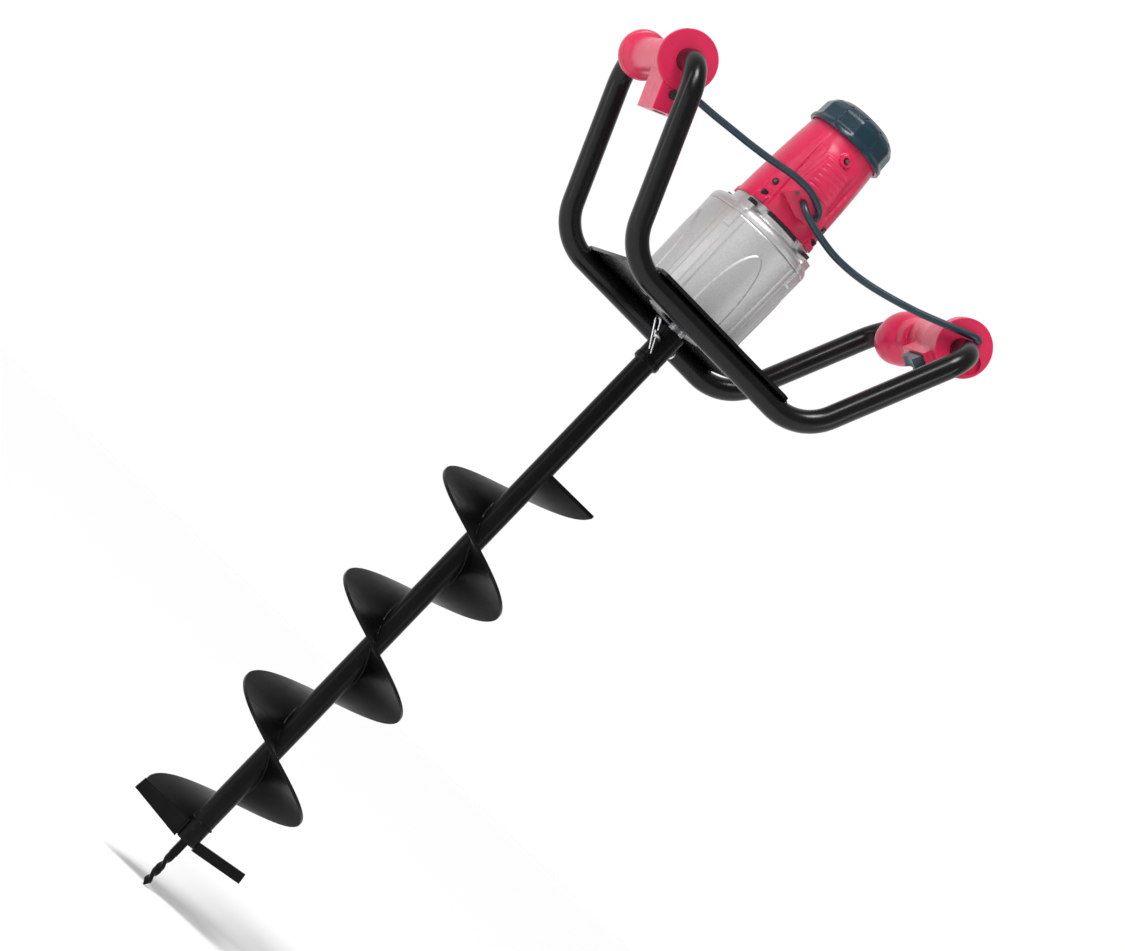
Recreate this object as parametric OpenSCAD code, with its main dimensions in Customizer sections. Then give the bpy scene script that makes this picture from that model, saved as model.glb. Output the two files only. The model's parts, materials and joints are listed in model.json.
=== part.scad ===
// Corded electric earth auger: a motor and spur gearbox in a twin-tube frame, driving a helical bit.
// +Z runs up the bit from the pilot's point, +X lies along the frame, -Y is the front.

/* [Auger bit] */
// Diameter of the hole the bit cuts
bit_d = 150; // [120:5:160]
// Rise of one turn of the flight
flight_pitch = 150; // [140:1:160]
// Thickness of the flight plate
flight_t = 4; // [3:0.5:5]
// Outer diameter of the bit's tube
bit_tube_d = 25; // [24:1:27]
// Height of the bottom of the flight
flight_z = 64; // [60:1:66]
// Height of the bottom of the socket collar
collar_z = 758; // [755:1:759]
// Outer diameter of the socket collar
collar_d = 30; // [29:0.5:32]

/* [Carrying frame] */
// Outer diameter of the frame tubes
frame_d = 25; // [24:0.5:26]
// Wall of the frame tubes
frame_wall = 1.6; // [1.2:0.1:2.5]
// Half the distance between the front and rear tubes
frame_half_y = 139; // [135:1:142]
// Half the distance between the lower corners
base_half = 130; // [128:1:132]
// Height of the lower tubes' centre line
base_z = 807.6; // [806:0.2:808]
// Half the distance between the grips
grip_half = 215; // [212:1:218]
// Height of the grips' centre line
grip_z = 1000; // [998:1:1002]
// Thickness of the base plate
plate_t = 4; // [3:0.5:4]

/* [Power head] */
// Distance from the bit's axis to the motor's axis, towards -X
motor_offset = 8; // [8:0.1:8]
// Outer radius of the gearbox
gearbox_r = 66; // [65:0.5:67]
// Outer radius of the motor housing at its foot
motor_r = 50.5; // [50:0.5:51]
// Outer radius of the motor cap's rim
cap_r = 48.7; // [48:0.1:49]
// Diameter of the output shaft
output_d = 20; // [20:1:20]
// Shape of the gear teeth: pressure angle
pressure_angle = 25; // [24:0.5:26]
// Play between meshing teeth, as a share of the module
backlash = 0.3; // [0.2:0.05:0.35]

/* [Leads] */
// Diameter of the two leads
lead_d = 8; // [7:0.5:8]

/* [Hidden] */
$fn = 48;

gap = 0.3;
run_gap = 0.04;
motor_x = -motor_offset;

// Frame tube path: corner to corner, with the two bends worked out from the corners.
frame_r = frame_d / 2;
base_bend_r = 60;
top_bend_r = 38;
lean = atan2(grip_half - base_half, grip_z - base_z);
turn = 90 - lean;
base_tangent = base_bend_r * tan(turn / 2);
base_run = base_half - base_tangent;
upright_dir = [sin(lean), 0, cos(lean)];
top_centre = [grip_half, top_bend_r, grip_z] - top_bend_r * upright_dir;
plate_z = base_z + frame_r;
plate_half = [96, frame_half_y + frame_r];

// Heights of the gearbox and of what turns in it.
case_z = plate_z + plate_t;
case_top = 936;
nose_z = 811;
nose_r = 36;
cover_top = 962;
wall = 4.5;
floor_t = 8;
output_r = output_d / 2;
bearing_r = [16, 13, 11];
output_shaft_top = 884;
shaft_foot = 766;
output_gear_z = 858;
layshaft_gear_z = 914;

// Gear train: the layshaft lies at the same distance from both axes.
centre_distance = 32;
pinion_teeth = 12;
wheel_teeth = 52;
lay_teeth = 10;
output_teeth = 30;
fast_module = 2 * centre_distance / (pinion_teeth + wheel_teeth);
slow_module = 2 * centre_distance / (lay_teeth + output_teeth);
lay_pos = [-motor_offset / 2, sqrt(centre_distance ^ 2 - (motor_offset / 2) ^ 2)];
mesh_in = atan2(lay_pos[1], lay_pos[0] - motor_x);
mesh_out = atan2(-lay_pos[1], -lay_pos[0]);

bolt_ring_r = 58;
pin_z = 788;
pin_turn = 221;
grip_y = 89;
housing_top = 1078;
cap_z = 1074;
cap_top = 1110;

// Lead routes, in the leads' own order from the housing on the left of each to the one on its right.
left_route = [[-184, -62, 981], [-172, -62, 983], [-150, -63, 985], [-125, -65, 988],
    [-100, -67, 991], [-75, -69, 995], [-50, -71, 1000], [-35, -71, 1002], [-20, -71, 1002],
    [-8, -71, 999], [1, -70, 995], [6, -66, 991], [8, -61, 988]];
right_route = [[-14, -61, 990], [-13, -66, 988], [-8, -71, 984], [5, -75, 979], [22, -78, 975],
    [45, -81, 972], [70, -84, 973], [95, -88, 977], [122, -92, 984], [150, -95, 993],
    [178, -98, 1004], [200, -99, 1013], [213, -98, 1018], [220, -94, 1019], [222, -89.5, 1019]];

// ---- shared shapes ----

module ring(r_out, r_in, h) {
    linear_extrude(height = h)
        difference() {
            circle(r = r_out);
            circle(r = r_in);
        }
}

// Places a shape in a grip's own frame: local +Y along the grip, local +Z up the leaning upright.
module at_grip(side) {
    translate([side * grip_half, 0, grip_z])
        rotate([0, side * lean, 0])
            children();
}

// A cylinder along Y from y_0 to y_1.
module along_y(r, y_0, y_1, r_end = -1) {
    translate([0, y_0, 0])
        rotate([-90, 0, 0])
            cylinder(h = y_1 - y_0, r1 = r, r2 = r_end < 0 ? r : r_end);
}

module at_corners(r) {
    for (k = [0:3])
        rotate(45 + 90 * k)
            translate([r, 0, 0])
                children();
}

module hex_bolt(shank_r, shank_len, head_r, head_h) {
    cylinder(r = head_r, h = head_h, $fn = 6);
    translate([0, 0, -shank_len])
        cylinder(r = shank_r, h = shank_len + 0.1);
}

// ---- gear teeth ----

function involute(a) = tan(a) * 180 / PI - a;

// Half the angle that a tooth fills at radius r.
function tooth_half(r, pitch_r, base_r, teeth) =
    (90 / teeth) * (1 - backlash / 3) + involute(pressure_angle)
    - involute(r > base_r ? acos(base_r / r) : 0);

// Outline of a spur gear with a tooth centred on angle 0.
function gear_outline(teeth, m) =
    let (pitch_r = teeth * m / 2,
        base_r = pitch_r * cos(pressure_angle),
        tip_r = pitch_r + 0.85 * m,
        root_r = pitch_r - 1.2 * m,
        foot_r = max(base_r, root_r),
        steps = [for (k = [0:4]) foot_r + (tip_r - foot_r) * k / 4],
        foot_half = tooth_half(foot_r, pitch_r, base_r, teeth))
    [for (t = [0:teeth - 1])
        let (mid = t * 360 / teeth)
        each concat(
            [root_r * [cos(mid - foot_half), sin(mid - foot_half)]],
            [for (r = steps) let (a = mid - tooth_half(r, pitch_r, base_r, teeth)) r * [cos(a), sin(a)]],
            [for (k = [4:-1:0])
                let (a = mid + tooth_half(steps[k], pitch_r, base_r, teeth)) steps[k] * [cos(a), sin(a)]],
            [root_r * [cos(mid + foot_half), sin(mid + foot_half)]])];

module spur_gear(teeth, m, h, bore_r) {
    linear_extrude(height = h)
        difference() {
            polygon(gear_outline(teeth, m));
            if (bore_r > 0)
                circle(r = bore_r);
        }
}

// ---- sweeps ----

function curve_point(p, i, t) =
    let (n = len(p) - 1,
        a = p[max(i - 1, 0)], b = p[i], c = p[min(i + 1, n)], d = p[min(i + 2, n)])
    0.5 * (2 * b + (c - a) * t + (2 * a - 5 * b + 4 * c - d) * t ^ 2 + (3 * b - a - 3 * c + d) * t ^ 3);

function smooth_route(p, cuts) =
    concat([for (i = [0:len(p) - 2], k = [0:cuts - 1]) curve_point(p, i, k / cuts)], [p[len(p) - 1]]);

// A round cord along a route that never runs straight up.
module cord(route, d, sides = 10) {
    path = smooth_route(route, 2);
    last = len(path) - 1;
    points = [for (i = [0:last])
        let (dir = path[min(i + 1, last)] - path[max(i - 1, 0)],
            side = cross(dir, [0, 0, 1]) / norm(cross(dir, [0, 0, 1])),
            up = cross(side, dir) / norm(dir))
        for (k = [0:sides - 1])
            path[i] + d / 2 * (cos(360 * k / sides) * side + sin(360 * k / sides) * up)];
    walls = [for (i = [0:last - 1], k = [0:sides - 1])
        let (a = i * sides + k, b = i * sides + (k + 1) % sides)
            each [[a, b, b + sides], [a, b + sides, a + sides]]];
    ends = [[for (k = [sides - 1:-1:0]) k], [for (k = [0:sides - 1]) last * sides + k]];
    polyhedron(points = points, faces = concat(walls, ends), convexity = 8);
}

flight_steps_per_turn = 48;
flight_in_r = bit_tube_d / 2 / cos(180 / flight_steps_per_turn) + 0.03;
flight_turns = 3.587;
flight_start = 205;
flight_first = 0.097;
hub_r = 12.4;
blade_t = 5;
blade_reach = 74.6;

// A left-handed stretch of flight, from one turn count to another.
module flight(turn_0, turn_1) {
    count = ceil((turn_1 - turn_0) * flight_steps_per_turn);
    points = [for (i = [0:count])
        let (t = turn_0 + (turn_1 - turn_0) * i / count,
            a = flight_start - 360 * t,
            z = flight_z + flight_t / 2 + flight_pitch * t)
        each [[flight_in_r * cos(a), flight_in_r * sin(a), z - flight_t / 2],
            [bit_d / 2 * cos(a), bit_d / 2 * sin(a), z - flight_t / 2],
            [bit_d / 2 * cos(a), bit_d / 2 * sin(a), z + flight_t / 2],
            [flight_in_r * cos(a), flight_in_r * sin(a), z + flight_t / 2]]];
    walls = [for (i = [0:count - 1], k = [0:3])
        let (a = 4 * i + k, b = 4 * i + (k + 1) % 4)
            each (k == 2 ? [[a, a + 4, b], [b, a + 4, b + 4]] : [[a, b + 4, b], [a, a + 4, b + 4]])];
    ends = [[0, 1, 2, 3], [for (k = [3:-1:0]) 4 * count + k]];
    color("#151515")
        polyhedron(points = points, faces = concat(walls, ends), convexity = 10);
}

// ---- carrying frame ----

// Points and directions along a bend that starts at centre + r * out and heads along ahead.
function bend_steps(centre, out, ahead, r, angle, steps) =
    [for (i = [0:steps])
        let (a = angle * i / steps)
            [centre + r * (cos(a) * out + sin(a) * ahead), cos(a) * ahead - sin(a) * out]];

half_route = concat(
    bend_steps([base_run, 0, base_z + base_bend_r], [0, 0, -1], [1, 0, 0], base_bend_r, turn, 8),
    bend_steps(top_centre, [0, -1, 0], upright_dir, top_bend_r, 90, 10),
    [[[grip_half, frame_half_y - gap, grip_z], [0, 1, 0]]]);
handle_route = concat(
    [for (i = [len(half_route) - 1:-1:0])
        let (p = half_route[i][0], d = half_route[i][1]) [[-p[0], p[1], p[2]], [d[0], -d[1], -d[2]]]],
    half_route);

// A hollow tube swept along a route of points and directions that never points straight up.
module bent_tube(route, r_out, r_in, sides) {
    last = len(route) - 1;
    points = [for (r = [r_out, r_in], step = route)
        let (dir = step[1],
            side = cross(dir, [0, 0, 1]) / norm(cross(dir, [0, 0, 1])),
            up = cross(side, dir))
        for (k = [0:sides - 1])
            step[0] + r * (cos(360 * k / sides) * side + sin(360 * k / sides) * up)];
    inner = (last + 1) * sides;
    outer_walls = [for (i = [0:last - 1], k = [0:sides - 1])
        let (a = i * sides + k, b = i * sides + (k + 1) % sides)
            each [[a, b, b + sides], [a, b + sides, a + sides]]];
    inner_walls = [for (f = outer_walls) [f[2] + inner, f[1] + inner, f[0] + inner]];
    ends = [for (k = [0:sides - 1])
        let (a = k, b = (k + 1) % sides, c = last * sides)
            each [[a, a + inner, b + inner], [a, b + inner, b],
                [a + c, b + c, b + c + inner], [a + c, b + c + inner, a + c + inner]]];
    polyhedron(points = points, faces = concat(outer_walls, inner_walls, ends), convexity = 12);
}

module handle() {
    translate([0, -frame_half_y, 0])
        bent_tube(handle_route, frame_r, frame_r - frame_wall, 20);
}

module handle_front() {
    color("#121212")
        handle();
}

module handle_rear() {
    color("#121212")
        mirror([0, 1, 0])
            handle();
}

module base_plate() {
    cut = 6;
    x = plate_half[0];
    y = plate_half[1];
    color("#161616")
        translate([0, 0, plate_z])
            linear_extrude(height = plate_t)
                difference() {
                    polygon([[-x, -y + cut], [-x + cut, -y], [x - cut, -y], [x, -y + cut],
                        [x, y - cut], [x - cut, y], [-x + cut, y], [-x, y - cut]]);
                    translate([motor_x, 0])
                        circle(r = nose_r + gap);
                    translate([motor_x, 0])
                        at_corners(52)
                            circle(r = 3.3);
                }
}

module plate_bolts() {
    color("#1c1c1c")
        translate([motor_x, 0, plate_z - run_gap])
            at_corners(52)
                mirror([0, 0, 1])
                    hex_bolt(3, 12, 5.5, 4);
}

// ---- gearbox ----

module gearbox_case() {
    color("#bdbdbd")
        difference() {
            union() {
                translate([motor_x, 0, 0])
                    rotate_extrude($fn = 96)
                        polygon([[0, nose_z], [nose_r - 2, nose_z], [nose_r, nose_z + 2], [nose_r, case_z],
                            [gearbox_r - 1.5, case_z], [gearbox_r + 0.7, case_top], [gearbox_r - wall, case_top],
                            [gearbox_r - wall, case_z + floor_t], [0, case_z + floor_t]]);
                translate([0, 0, case_z])
                    cylinder(r = 21, h = 27.5);
                translate([lay_pos[0], lay_pos[1], case_z])
                    cylinder(r = 17, h = 12);
                translate([motor_x, 0, case_z + 1])
                    at_corners(bolt_ring_r - 7)
                        translate([0, -6, 0])
                            cube([11.5, 12, case_top - case_z - 2]);
            }
            translate([0, 0, nose_z - 1])
                cylinder(r = bearing_r[0] + 0.02, h = 833 - nose_z + 1);
            translate([0, 0, 832])
                cylinder(r = 12, h = 14);
            translate([0, 0, 845])
                cylinder(r = bearing_r[0] + 0.02, h = 10);
            translate([lay_pos[0], lay_pos[1], 828.2])
                cylinder(r = bearing_r[1] + 0.02, h = 10);
            translate([motor_x, 0, 860])
                at_corners(bolt_ring_r)
                    cylinder(r = 3.2, h = 80);
            translate([motor_x, 0, case_z - 1])
                at_corners(52)
                    cylinder(r = 3.2, h = 12);
        }
}

module gearbox_cover() {
    foot = case_top + 0.2;
    color("#c4c4c4")
        difference() {
            union() {
                translate([motor_x, 0, 0])
                    rotate_extrude($fn = 96)
                        polygon([[0, 940], [gearbox_r - wall, 940], [gearbox_r - wall, foot],
                            [gearbox_r + 0.7, foot], [gearbox_r + 0.7, 942], [gearbox_r - 1, 946],
                            [gearbox_r - 5, 949], [49, 950], [49, cover_top - gap], [44, cover_top - gap],
                            [44, 948], [0, 948]]);
                translate([motor_x, 0, 942])
                    at_corners(bolt_ring_r - 2)
                        cylinder(r = 8, h = 11);
            }
            translate([motor_x, 0, 940.2])
                cylinder(r = bearing_r[2] + 0.02, h = 9);
            translate([motor_x, 0, 938])
                cylinder(r = 6.5, h = 3);
            translate([lay_pos[0], lay_pos[1], 938])
                cylinder(r = bearing_r[1] + 0.02, h = 8);
            translate([motor_x, 0, 930])
                at_corners(bolt_ring_r)
                    cylinder(r = 3.2, h = 30);
            translate([motor_x - 26, -60, cover_top - 4])
                cube([52, 20, 6]);
        }
}

module gearbox_bolts() {
    color("#1c1c1c")
        translate([motor_x, 0, 953 + run_gap])
            at_corners(bolt_ring_r)
                hex_bolt(3, 85, 5.5, 5);
}

// ---- motor ----

module motor_housing() {
    color("#d62e56")
        translate([motor_x, 0, 0])
            difference() {
                union() {
                    rotate_extrude($fn = 96)
                        polygon([[motor_r, cover_top], [47.8, 1022], [43.2, housing_top], [40.2, housing_top],
                            [44.8, 1022], [motor_r - 3, cover_top]]);
                    for (k = [0:3])
                        rotate(90 * k)
                            translate([39.2, -4, 985])
                                cube([6.6, 8, 50]);
                    for (k = [0:3])
                        rotate(45 + 90 * k)
                            translate([36, -3, 1059])
                                cube([6, 6, 4]);
                    translate([-18, -54.5, 1008])
                        cube([36, 8.5, 42]);
                    translate([0, -53, 1056])
                        rotate([-90, 0, 0])
                            cylinder(r = 7.5, h = 8);
                    translate([0, 0, cover_top])
                        at_corners(motor_r)
                            cylinder(r = 6, h = 12);
                }
                translate([0, -60, 1056])
                    rotate([-90, 0, 0])
                        cylinder(r = 2.2, h = 25);
                translate([-26, -60, cover_top - 2])
                    cube([52, 20, 5]);
                cylinder(r = 39.15, h = 1200);
            }
}

module motor_cap() {
    color("#17303f")
        translate([motor_x, 0, 0])
            rotate_extrude($fn = 96)
                polygon([[44.6, cap_z], [cap_r, cap_z], [cap_r - 0.6, cap_z + 6], [45.6, 1098],
                    [40, 1105], [34, cap_top], [0, cap_top], [0, cap_top - 3], [32, cap_top - 3], [42, 1097]]);
}

module cable_block() {
    color("#cf2a50")
        difference() {
            translate([motor_x, 0, 0])
                intersection() {
                    translate([0, -40, 0])
                        rotate([90, 0, 0])
                            linear_extrude(height = 21.5)
                                polygon([[-27, 984], [-13, 1004], [15, 1004], [27, 988], [22, 979], [0, 976]]);
                    difference() {
                        cylinder(r = 70, h = 1200);
                        cylinder(r = motor_r, h = 1200, $fn = 96);
                    }
                }
            translate([8, -53, 988])
                rotate([90, 0, 0])
                    cylinder(r = 4.6, h = 12);
            translate([-14, -53, 990])
                rotate([90, 0, 0])
                    cylinder(r = 4.6, h = 12);
            for (x = [-26, 10])
                translate([x, -50, 993 + (x > 0 ? 5 : 0)])
                    rotate([90, 0, 0])
                        cylinder(r = 2.2, h = 20);
        }
}

module panel_screw() {
    rotate([-90, 0, 0]) {
        cylinder(r = 2.1, h = 5);
        translate([0, 0, -0.6])
            cylinder(r = 2.15, h = 1);
    }
}

module block_screws() {
    color("#555555")
        for (x = [-26, 10])
            translate([x, -60, 993 + (x > 0 ? 5 : 0)])
                panel_screw();
}

module housing_screws() {
    color("#555555")
        translate([motor_x, -52.4, 1056])
            panel_screw();
}

module stator() {
    color("#8d8d90")
        translate([motor_x, 0, 985])
            linear_extrude(height = 50)
                difference() {
                    circle(r = 39);
                    circle(r = 25);
                    for (s = [-1, 1])
                        translate([s * 28, 0])
                            square([9, 34], center = true);
                }
}

module field_coils() {
    color("#b8652c")
        for (s = [-1, 1])
            translate([motor_x + s * 28, 0, 978])
                linear_extrude(height = 64)
                    difference() {
                        square([6, 32], center = true);
                        square([7, 12], center = true);
                    }
}

module armature_core() {
    color("#8d8d90")
        translate([motor_x, 0, 985])
            linear_extrude(height = 50)
                difference() {
                    circle(r = 24.4);
                    circle(r = 4);
                    for (k = [0:11])
                        rotate(30 * k)
                            translate([19, 0])
                                square([7, 3.4], center = true);
                }
}

module armature_windings() {
    color("#b8652c")
        translate([motor_x, 0, 0])
            for (z = [976, 1035.05])
                translate([0, 0, z])
                    rotate_extrude()
                        polygon([[4.02, 0], [17, 0], [21, 3], [21, 6], [17, 8.9], [4.02, 8.9]]);
}

module commutator() {
    color("#b5793f")
        translate([motor_x, 0, 1045])
            linear_extrude(height = 13)
                difference() {
                    circle(r = 13);
                    circle(r = 4.02);
                    for (k = [0:23])
                        rotate(15 * k)
                            translate([12.6, 0])
                                square([1.2, 0.5], center = true);
                }
}

module armature_shaft() {
    color("#b9bcc0")
        translate([motor_x, 0, 0]) {
            translate([0, 0, 926.5])
                cylinder(r = 4 - run_gap / 2, h = 1072 - 926.5);
            translate([0, 0, 912])
                rotate(mesh_in)
                    spur_gear(pinion_teeth, fast_module, 15, 0);
        }
}

module cooling_fan() {
    color("#2b2b2e")
        translate([motor_x, 0, 955]) {
            ring(34, 4.02, 2);
            ring(9, 4.02, 12);
            for (k = [0:9])
                rotate(36 * k)
                    translate([8.5, -1, 1])
                        cube([24, 2, 11]);
        }
}

module brush_holders() {
    color("#c2a25a")
        for (s = [-1, 1])
            translate([motor_x + s * 27, 0, 1051])
                rotate([0, 90, 0])
                    difference() {
                        cube([9, 10, 20], center = true);
                        cube([6.2, 7.2, 22], center = true);
                    }
}

module brushes() {
    color("#333333")
        for (s = [-1, 1])
            translate([motor_x + s * 22.3, 0, 1051])
                cube([18, 7, 6], center = true);
}

module bearing_bridge() {
    color("#26282b")
        translate([motor_x, 0, 1063.2])
            difference() {
                union() {
                    ring(39, 11.02, 4);
                    ring(15, 11.02, 7);
                }
                for (k = [0:5])
                    rotate(60 * k)
                        translate([27, 0, -1])
                            cylinder(r = 6, h = 6);
            }
}

module armature_bearings() {
    color("#a9acb0")
        translate([motor_x, 0, 0])
            for (z = [940.2, 1063.2])
                translate([0, 0, z])
                    ring(bearing_r[2], 4 + run_gap / 2, 7);
}

// ---- reduction gears ----

module layshaft() {
    color("#b9bcc0")
        translate([lay_pos[0], lay_pos[1], 0]) {
            translate([0, 0, 829])
                cylinder(r = 5 - run_gap / 2, h = 945 - 829);
            translate([0, 0, output_gear_z - 1])
                rotate(mesh_out)
                    spur_gear(lay_teeth, slow_module, 22, 0);
        }
}

module layshaft_gear() {
    color("#9fa3a8")
        translate([lay_pos[0], lay_pos[1], layshaft_gear_z])
            rotate(mesh_in + 180 + 180 / wheel_teeth)
                difference() {
                    spur_gear(wheel_teeth, fast_module, 11, 5);
                    for (k = [0:5])
                        rotate(60 * k)
                            translate([15, 0, -1])
                                cylinder(r = 4, h = 13);
                }
}

module layshaft_bearings() {
    color("#a9acb0")
        translate([lay_pos[0], lay_pos[1], 0])
            for (z = [828.2, 938])
                translate([0, 0, z])
                    ring(bearing_r[1], 5 + run_gap / 2, 8);
}

module output_gear() {
    color("#9fa3a8")
        translate([0, 0, output_gear_z])
            rotate(mesh_out + 180 + 180 / output_teeth)
                spur_gear(output_teeth, slow_module, 20, output_r + 0.01);
}

module output_shaft() {
    color("#b9bcc0")
        difference() {
            translate([0, 0, shaft_foot])
                cylinder(r = output_r - run_gap / 2, h = output_shaft_top - shaft_foot);
            translate([0, 0, pin_z])
                rotate([0, 90, pin_turn])
                    cylinder(r = 4.05, h = 60, center = true);
            translate([0, 0, 879])
                ring(output_r + 1, 8.8, 1.3);
        }
}

module output_circlip() {
    color("#55585c")
        translate([0, 0, 879.1])
            linear_extrude(height = 1.1)
                difference() {
                    circle(r = 13);
                    circle(r = 8.9);
                    translate([10, 0])
                        square([12, 6], center = true);
                }
}

module output_bearings() {
    color("#a9acb0")
        for (z = [826, 845])
            translate([0, 0, z])
                ring(bearing_r[0], output_r + run_gap / 2, 7);
}

module output_seal() {
    color("#202022")
        translate([0, 0, 814])
            ring(bearing_r[0], output_r + run_gap, 7);
}

// ---- bit ----

module bit_collar() {
    color("#151515")
        difference() {
            translate([0, 0, collar_z])
                rotate_extrude()
                    polygon([[bit_tube_d / 2 + 0.02, 0], [collar_d / 2 - 1.5, 0], [collar_d / 2 + 0.6, 2],
                        [collar_d / 2 + 0.6, 7], [collar_d / 2, 8], [collar_d / 2, 45], [collar_d / 2 - 1, 46],
                        [output_r + 0.05, 46], [output_r + 0.05, 6], [bit_tube_d / 2 + 0.02, 6]]);
            translate([0, 0, pin_z])
                rotate([0, 90, pin_turn])
                    cylinder(r = 4.05, h = 60, center = true);
        }
}

module at_pin() {
    translate([0, 0, pin_z])
        rotate([0, 90, pin_turn])
            children();
}

module clevis_pin() {
    color("#d5d8db")
        at_pin()
            difference() {
                union() {
                    translate([0, 0, -20])
                        cylinder(r = 4, h = 46);
                    translate([0, 0, 25.9])
                        cylinder(r1 = 4, r2 = 2.6, h = 1.6);
                    translate([0, 0, -22.5])
                        cylinder(r = 6.5, h = 3);
                }
                translate([0, 0, 21])
                    rotate([0, 90, 30])
                        cylinder(r = 1.5, h = 20, center = true);
            }
}

module pin_clip() {
    wire_r = 1.3;
    bend_r = 6.5;
    color("#d9dcdf")
        at_pin()
            translate([0, 0, 21])
                rotate([0, 90, 30]) {
                    translate([0, 0, -12])
                        cylinder(r = wire_r, h = 34, $fn = 20);
                    translate([-bend_r, 0, -12])
                        rotate([-90, 0, 0])
                            rotate_extrude(angle = 180, $fn = 24)
                                translate([bend_r, 0])
                                    circle(r = wire_r, $fn = 20);
                    translate([-2 * bend_r, 0, -12])
                        rotate([0, 12, 0])
                            cylinder(r = wire_r, h = 32, $fn = 20);
                }
}

module bit_tube() {
    color("#151515")
        translate([0, 0, 88])
            ring(bit_tube_d / 2, bit_tube_d / 2 - 2.2, collar_z + 5.8 - 88);
}

module flight_1() { flight(flight_first, 0.998); }
module flight_2() { flight(1, 1.998); }
module flight_3() { flight(2, 2.998); }
module flight_4() { flight(3, flight_turns); }

module bit_hub() {
    color("#131313")
        rotate_extrude()
            polygon([[0, 62], [11, 62], [hub_r, 66], [hub_r, 87], [11, 87.9], [0, 87.9]]);
}

// The bar blade stands out from the hub, rising towards its outer end and shaped to the hub at its root.
module blade_right() {
    blade_bottom = 58;
    blade_h = 12;
    blade_rise = 7.5;
    color("#131313")
        difference() {
            translate([0, 0, blade_bottom])
                rotate([0, -blade_rise, 0])
                    translate([8, -blade_t / 2, 0])
                        difference() {
                            cube([blade_reach - 8, blade_t, blade_h]);
                            translate([-1, 0, 0])
                                rotate([35, 0, 0])
                                    translate([0, -6, -6])
                                        cube([blade_reach, 6, 6]);
                        }
            cylinder(r = hub_r + 0.02, h = 120);
        }
}

// The plate blade is welded to the flight's leading edge, and stands a little proud of its rim.
module blade_left() {
    plate_blade_t = 4;
    color("#131313")
        rotate(flight_start - 360 * flight_first)
            translate([0, plate_blade_t + 0.02, 0])
                rotate([90, 0, 0])
                    linear_extrude(height = plate_blade_t)
                        polygon([[hub_r + 0.02, 59.6], [77.5, 67.8], [76, 82.6], [hub_r + 0.02, 82.6]]);
}

pilot_levels = 44;
pilot_top = 66;
module pilot_point() {
    points = [for (i = [0:pilot_levels])
        let (z = pilot_top * i / pilot_levels,
            twist = -min(1, max(0, (z - 2) / 38)) * 360,
            grow = min(1, 0.12 + z / 7),
            w = (z > 44 ? 9.5 : 8.6) / 2 * grow,
            t = 2.4 * grow)
        for (c = [[-w, -t], [w, -t], [w, t], [-w, t]])
            [c[0] * cos(twist) - c[1] * sin(twist), c[0] * sin(twist) + c[1] * cos(twist),
                min(z, 61.9)]];
    rings = [for (i = [0:pilot_levels]) if (pilot_top * i / pilot_levels < 61.9) i];
    last = len(rings) - 1;
    walls = [for (i = [0:last - 1], k = [0:3])
        let (a = 4 * i + k, b = 4 * i + (k + 1) % 4)
            each [[a, b + 4, b], [a, a + 4, b + 4]]];
    ends = [[0, 1, 2, 3], [for (k = [3:-1:0]) 4 * last + k]];
    color("#131313")
        polyhedron(points = [for (i = [0:4 * last + 3]) points[i]], faces = concat(ends, walls));
}

// ---- left grip ----

left_disc_r = 33;

module left_grip() {
    color("#d62e56")
        at_grip(-1)
            difference() {
                union() {
                    along_y(left_disc_r, -grip_y, -grip_y + 7);
                    along_y(26, -grip_y + 7, -grip_y + 13, 20);
                    along_y(19.5, -grip_y + 12, grip_y - 18);
                    along_y(20, grip_y - 18, grip_y - 8, 26);
                    along_y(27.5, grip_y - 8, grip_y);
                }
                along_y(frame_r + 0.05, -100, 100);
                translate([-19, -grip_y + 7.2, -62])
                    cube([35, 55, 42]);
            }
}

module switch_box() {
    color("#d62e56")
        at_grip(-1)
            difference() {
                translate([-18, -grip_y + gap, -59])
                    cube([33, 61, 44]);
                translate([-15.4, -grip_y + 3, -56.4])
                    cube([27.8, 55.4, 36]);
                along_y(19.8, -grip_y + 12, 0);
                along_y(left_disc_r + 0.2, -100, -grip_y + 7.2);
                along_y(26.4, -grip_y + 7.1, -grip_y + 13.3, 20.4);
                translate([-1.6, -grip_y - 1, -38.4])
                    rotate([-90, 0, 0])
                        cylinder(r = 4.6, h = 8);
                translate([-1.6, -60, -62])
                    cylinder(r = 7.02, h = 10);
                translate([9, -62, -30])
                    rotate([0, 90, 0])
                        cylinder(r = 5.05, h = 10);
            }
}

module lock_button() {
    color("#202226")
        at_grip(-1)
            translate([-1.6, -grip_y - 3, -38.4])
                rotate([-90, 0, 0])
                    cylinder(r = 4.5, h = 10);
}

module lock_switch() {
    color("#3a3d42")
        at_grip(-1)
            translate([-10, -grip_y + 15, -54])
                cube([17, 26, 28]);
}

module inlet_grommet() {
    color("#1d1f22")
        at_grip(-1)
            translate([-1.6, -60, -59])
                difference() {
                    cylinder(r = 7, h = 3.4);
                    translate([0, 0, -1])
                        cylinder(r = 4.5, h = 6);
                }
}

module lead_boots() {
    color("#1b2c38")
        at_grip(-1)
            translate([12.4, -62, -30])
                rotate([0, 90, 0])
                    cylinder(r = 5, h = 8);
}

module lead_left() {
    color("#1b2c38")
        cord(left_route, lead_d);
}

module lead_right() {
    color("#1b2c38")
        cord(right_route, lead_d);
}

// ---- right grip ----

trigger_pivot = [-62, -24];

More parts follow.
